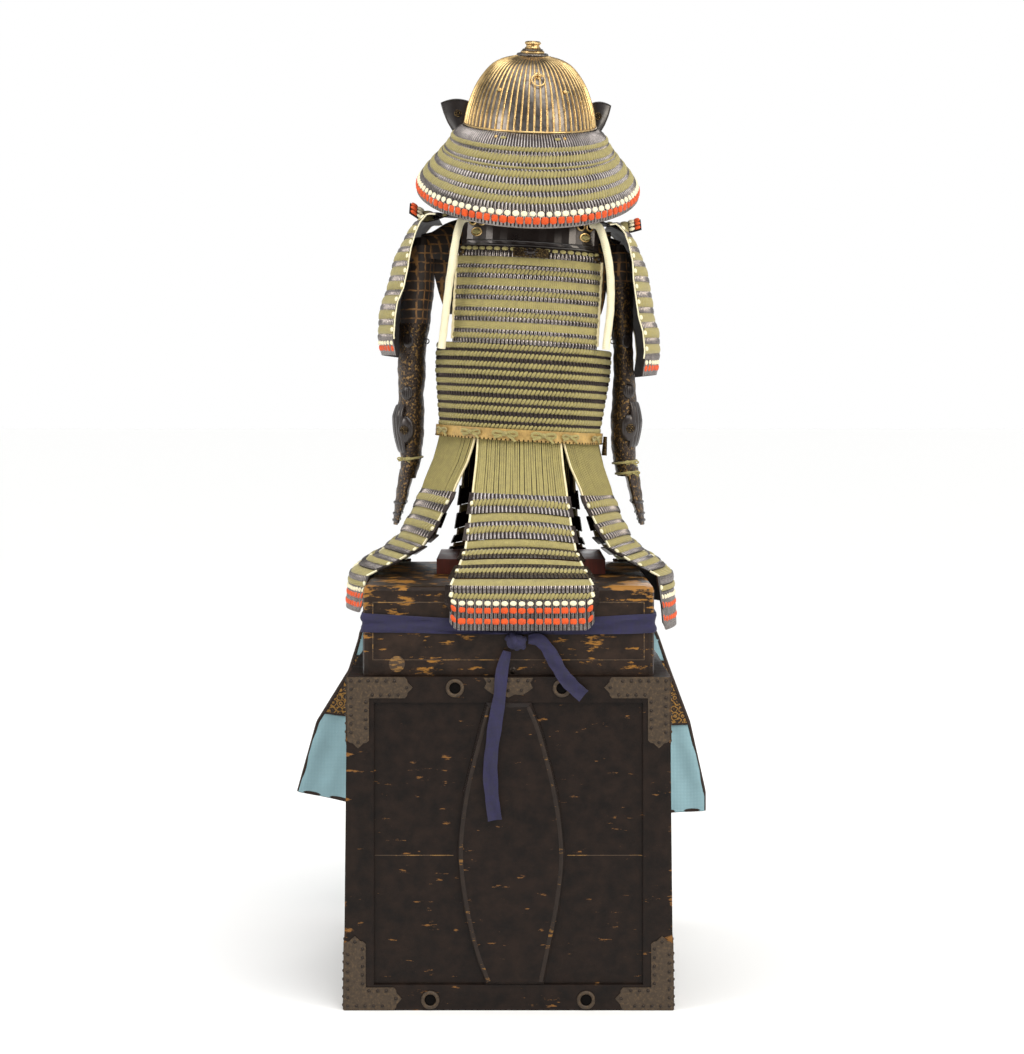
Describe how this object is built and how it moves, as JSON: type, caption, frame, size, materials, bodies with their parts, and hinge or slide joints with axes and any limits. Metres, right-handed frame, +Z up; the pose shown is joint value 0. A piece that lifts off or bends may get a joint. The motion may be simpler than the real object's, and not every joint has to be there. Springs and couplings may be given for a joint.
{
  "type": "samurai armour on its storage box",
  "caption": "Laced samurai armour with ribbed helmet, shoulder guards, sleeves, skirt and thigh guards, dressed on a plain stand on its lacquered wooden storage box.",
  "frame": {"origin": "middle of the storage box's underside, on the floor", "axes": "+Z up; the armour's back looks to -Y and its front to +Y, so +X is on the right of somebody who looks at its back"},
  "size_m": [0.7426, 0.5393, 1.5614],
  "materials": {
    "laced_lames": "olive silk lacing over dark lacquered lames",
    "lacquered_plate": "satin black-brown lacquer",
    "gilt_metal": "worn gilt",
    "iron": "russet iron, satin",
    "sleeve_mail": "brocade under dark mail",
    "cream_cord": "round braided silk cord",
    "tan_leather": "tan leather, satin",
    "sash_cloth": "navy twisted cloth",
    "linen": "light blue plain weave with dark edging",
    "brocade": "dark brown ground with gold flowers",
    "box_lacquer": "worn dark lacquer on wood",
    "stand_wood": "plain painted wood, matt"
  },
  "bodies": {
    "armour": {"box_body": "box_lacquer", "box_back_board": "box_lacquer", "box_lid": "box_lacquer", "stand_base": "stand_wood", "stand_frame": "stand_wood", "do_lower": "laced_lames", "do_upper_back": "laced_lames", "do_upper_front": "laced_lames", "collar_plate": "lacquered_plate", "do_plaque": "gilt_metal", "belt": "tan_leather", "belt_toggle": "gilt_metal", "shoulder_strap_left": "lacquered_plate", "shoulder_strap_right": "lacquered_plate", "cord_left": "cream_cord", "cord_right": "cream_cord", "tasset_rear_centre_lacing": "laced_lames", "tasset_rear_centre": "laced_lames", "tasset_rear_left_lacing": "laced_lames", "tasset_rear_left": "laced_lames", "tasset_rear_right_lacing": "laced_lames", "tasset_rear_right": "laced_lames", "tasset_side_left_lacing": "laced_lames", "tasset_side_left": "laced_lames", "tasset_side_right_lacing": "laced_lames", "tasset_side_right": "laced_lames", "tasset_front_left_lacing": "laced_lames", "tasset_front_left": "laced_lames", "tasset_front_right_lacing": "laced_lames", "tasset_front_right": "laced_lames", "helmet_bowl": "gilt_metal", "helmet_finial": "gilt_metal", "helmet_neck_band": "iron", "helmet_neck_guard": "laced_lames", "helmet_wing_left": "lacquered_plate", "helmet_wing_right": "lacquered_plate", "helmet_peak": "lacquered_plate", "helmet_ring_eye": "gilt_metal", "shoulder_guard_left": "laced_lames", "shoulder_guard_right": "laced_lames", "shoulder_flap_left": "laced_lames", "shoulder_flap_right": "laced_lames", "arm_left_sleeve": "sleeve_mail", "arm_left_forearm_plate": "lacquered_plate", "arm_left_hand_guard": "lacquered_plate", "arm_right_sleeve": "sleeve_mail", "arm_right_forearm_plate": "lacquered_plate", "arm_right_hand_guard": "lacquered_plate", "thigh_guard_left": "linen", "thigh_flap_left": "brocade", "thigh_guard_right": "linen", "thigh_flap_right": "brocade", "sash_band": "sash_cloth", "sash_knot": "sash_cloth", "sash_tail_left": "sash_cloth", "sash_tail_right": "sash_cloth"},
    "ring": {"helmet_ring": "gilt_metal"}
  },
  "joints": [
    {"name": "ring_swing", "type": "hinge", "parent": "armour", "child": "ring", "pos_m": [0.04864, -0.07013, 1.4905], "axis": [-0.993, -0.1182, 0.0063], "range_deg": [0, 140]}
  ]
}
